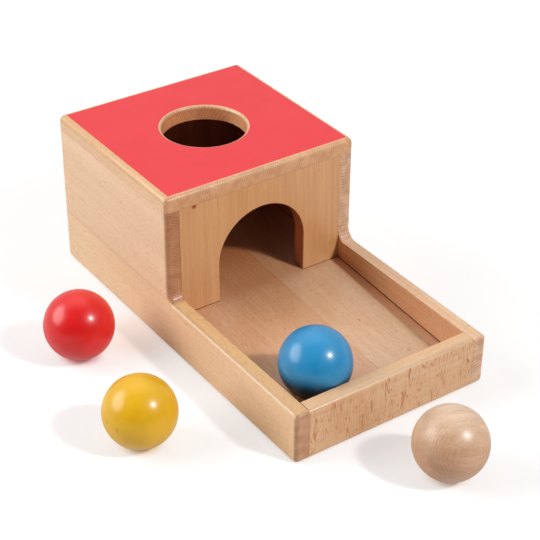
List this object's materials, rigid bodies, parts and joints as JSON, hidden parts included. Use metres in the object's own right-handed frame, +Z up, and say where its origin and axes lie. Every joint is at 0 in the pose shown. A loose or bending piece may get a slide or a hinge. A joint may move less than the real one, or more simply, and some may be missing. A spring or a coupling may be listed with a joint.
{
  "type": "ball drop box",
  "caption": "Wooden ball-drop box: a ball pushed through the round hole in the painted top rolls down a sloping floor, out of an arch and into an open tray.",
  "frame": {"origin": "middle of the underside of the tray's front wall, on the table", "axes": "+Z up, +Y from the tray back to the box, +X to the right seen from the tray's front"},
  "size_m": [0.2271, 0.3502, 0.1095],
  "materials": {
    "lacquered_beech": "solid beech, clear satin lacquer",
    "dowel_beech": "raw beech dowel",
    "red_painted_beech": "satin red paint on the flat of the top, bare lacquered beech on its rounded edges and the rim of the hole",
    "blue_gloss_paint": "gloss paint on a turned wooden ball",
    "red_gloss_paint": "gloss paint on a turned wooden ball",
    "yellow_gloss_paint": "gloss paint on a turned wooden ball",
    "natural_ball_beech": "turned beech ball, clear satin lacquer"
  },
  "bodies": {
    "box_and_tray": {"side_panel_left": "lacquered_beech", "side_panel_right": "lacquered_beech", "tray_front_wall": "lacquered_beech", "arch_panel": "lacquered_beech", "back_panel": "lacquered_beech", "floor_board": "lacquered_beech", "top_board": "red_painted_beech", "front_wall_dowel_left_1": "dowel_beech", "front_wall_dowel_left_2": "dowel_beech", "front_wall_dowel_right_1": "dowel_beech", "front_wall_dowel_right_2": "dowel_beech", "arch_panel_dowel_left_1": "dowel_beech", "arch_panel_dowel_left_2": "dowel_beech", "arch_panel_dowel_right_1": "dowel_beech", "arch_panel_dowel_right_2": "dowel_beech", "back_panel_dowel_left_1": "dowel_beech", "back_panel_dowel_left_2": "dowel_beech", "back_panel_dowel_right_1": "dowel_beech", "back_panel_dowel_right_2": "dowel_beech", "top_dowel_left_1": "dowel_beech", "top_dowel_left_2": "dowel_beech", "top_dowel_left_3": "dowel_beech", "top_dowel_right_1": "dowel_beech", "top_dowel_right_2": "dowel_beech", "top_dowel_right_3": "dowel_beech"},
    "ball_blue": {"blue_ball": "blue_gloss_paint"},
    "ball_red": {"red_ball": "red_gloss_paint"},
    "ball_yellow": {"yellow_ball": "yellow_gloss_paint"},
    "ball_natural": {"natural_ball": "natural_ball_beech"}
  },
  "joints": [
    {"name": "blue_ball_roll", "type": "slide", "parent": "box_and_tray", "child": "ball_blue", "axis": [0, 0.998, 0.0637], "range_m": [0, 0.0826]},
    {"name": "red_ball_roll", "type": "slide", "parent": "box_and_tray", "child": "ball_red", "axis": [1, 0, 0], "range_m": [0, 0.0267]},
    {"name": "yellow_ball_roll", "type": "slide", "parent": "box_and_tray", "child": "ball_yellow", "axis": [1, 0, 0], "range_m": [0, 0.0395]},
    {"name": "natural_ball_roll", "type": "slide", "parent": "box_and_tray", "child": "ball_natural", "axis": [0, 1, 0], "range_m": [0, 0.0325]}
  ]
}
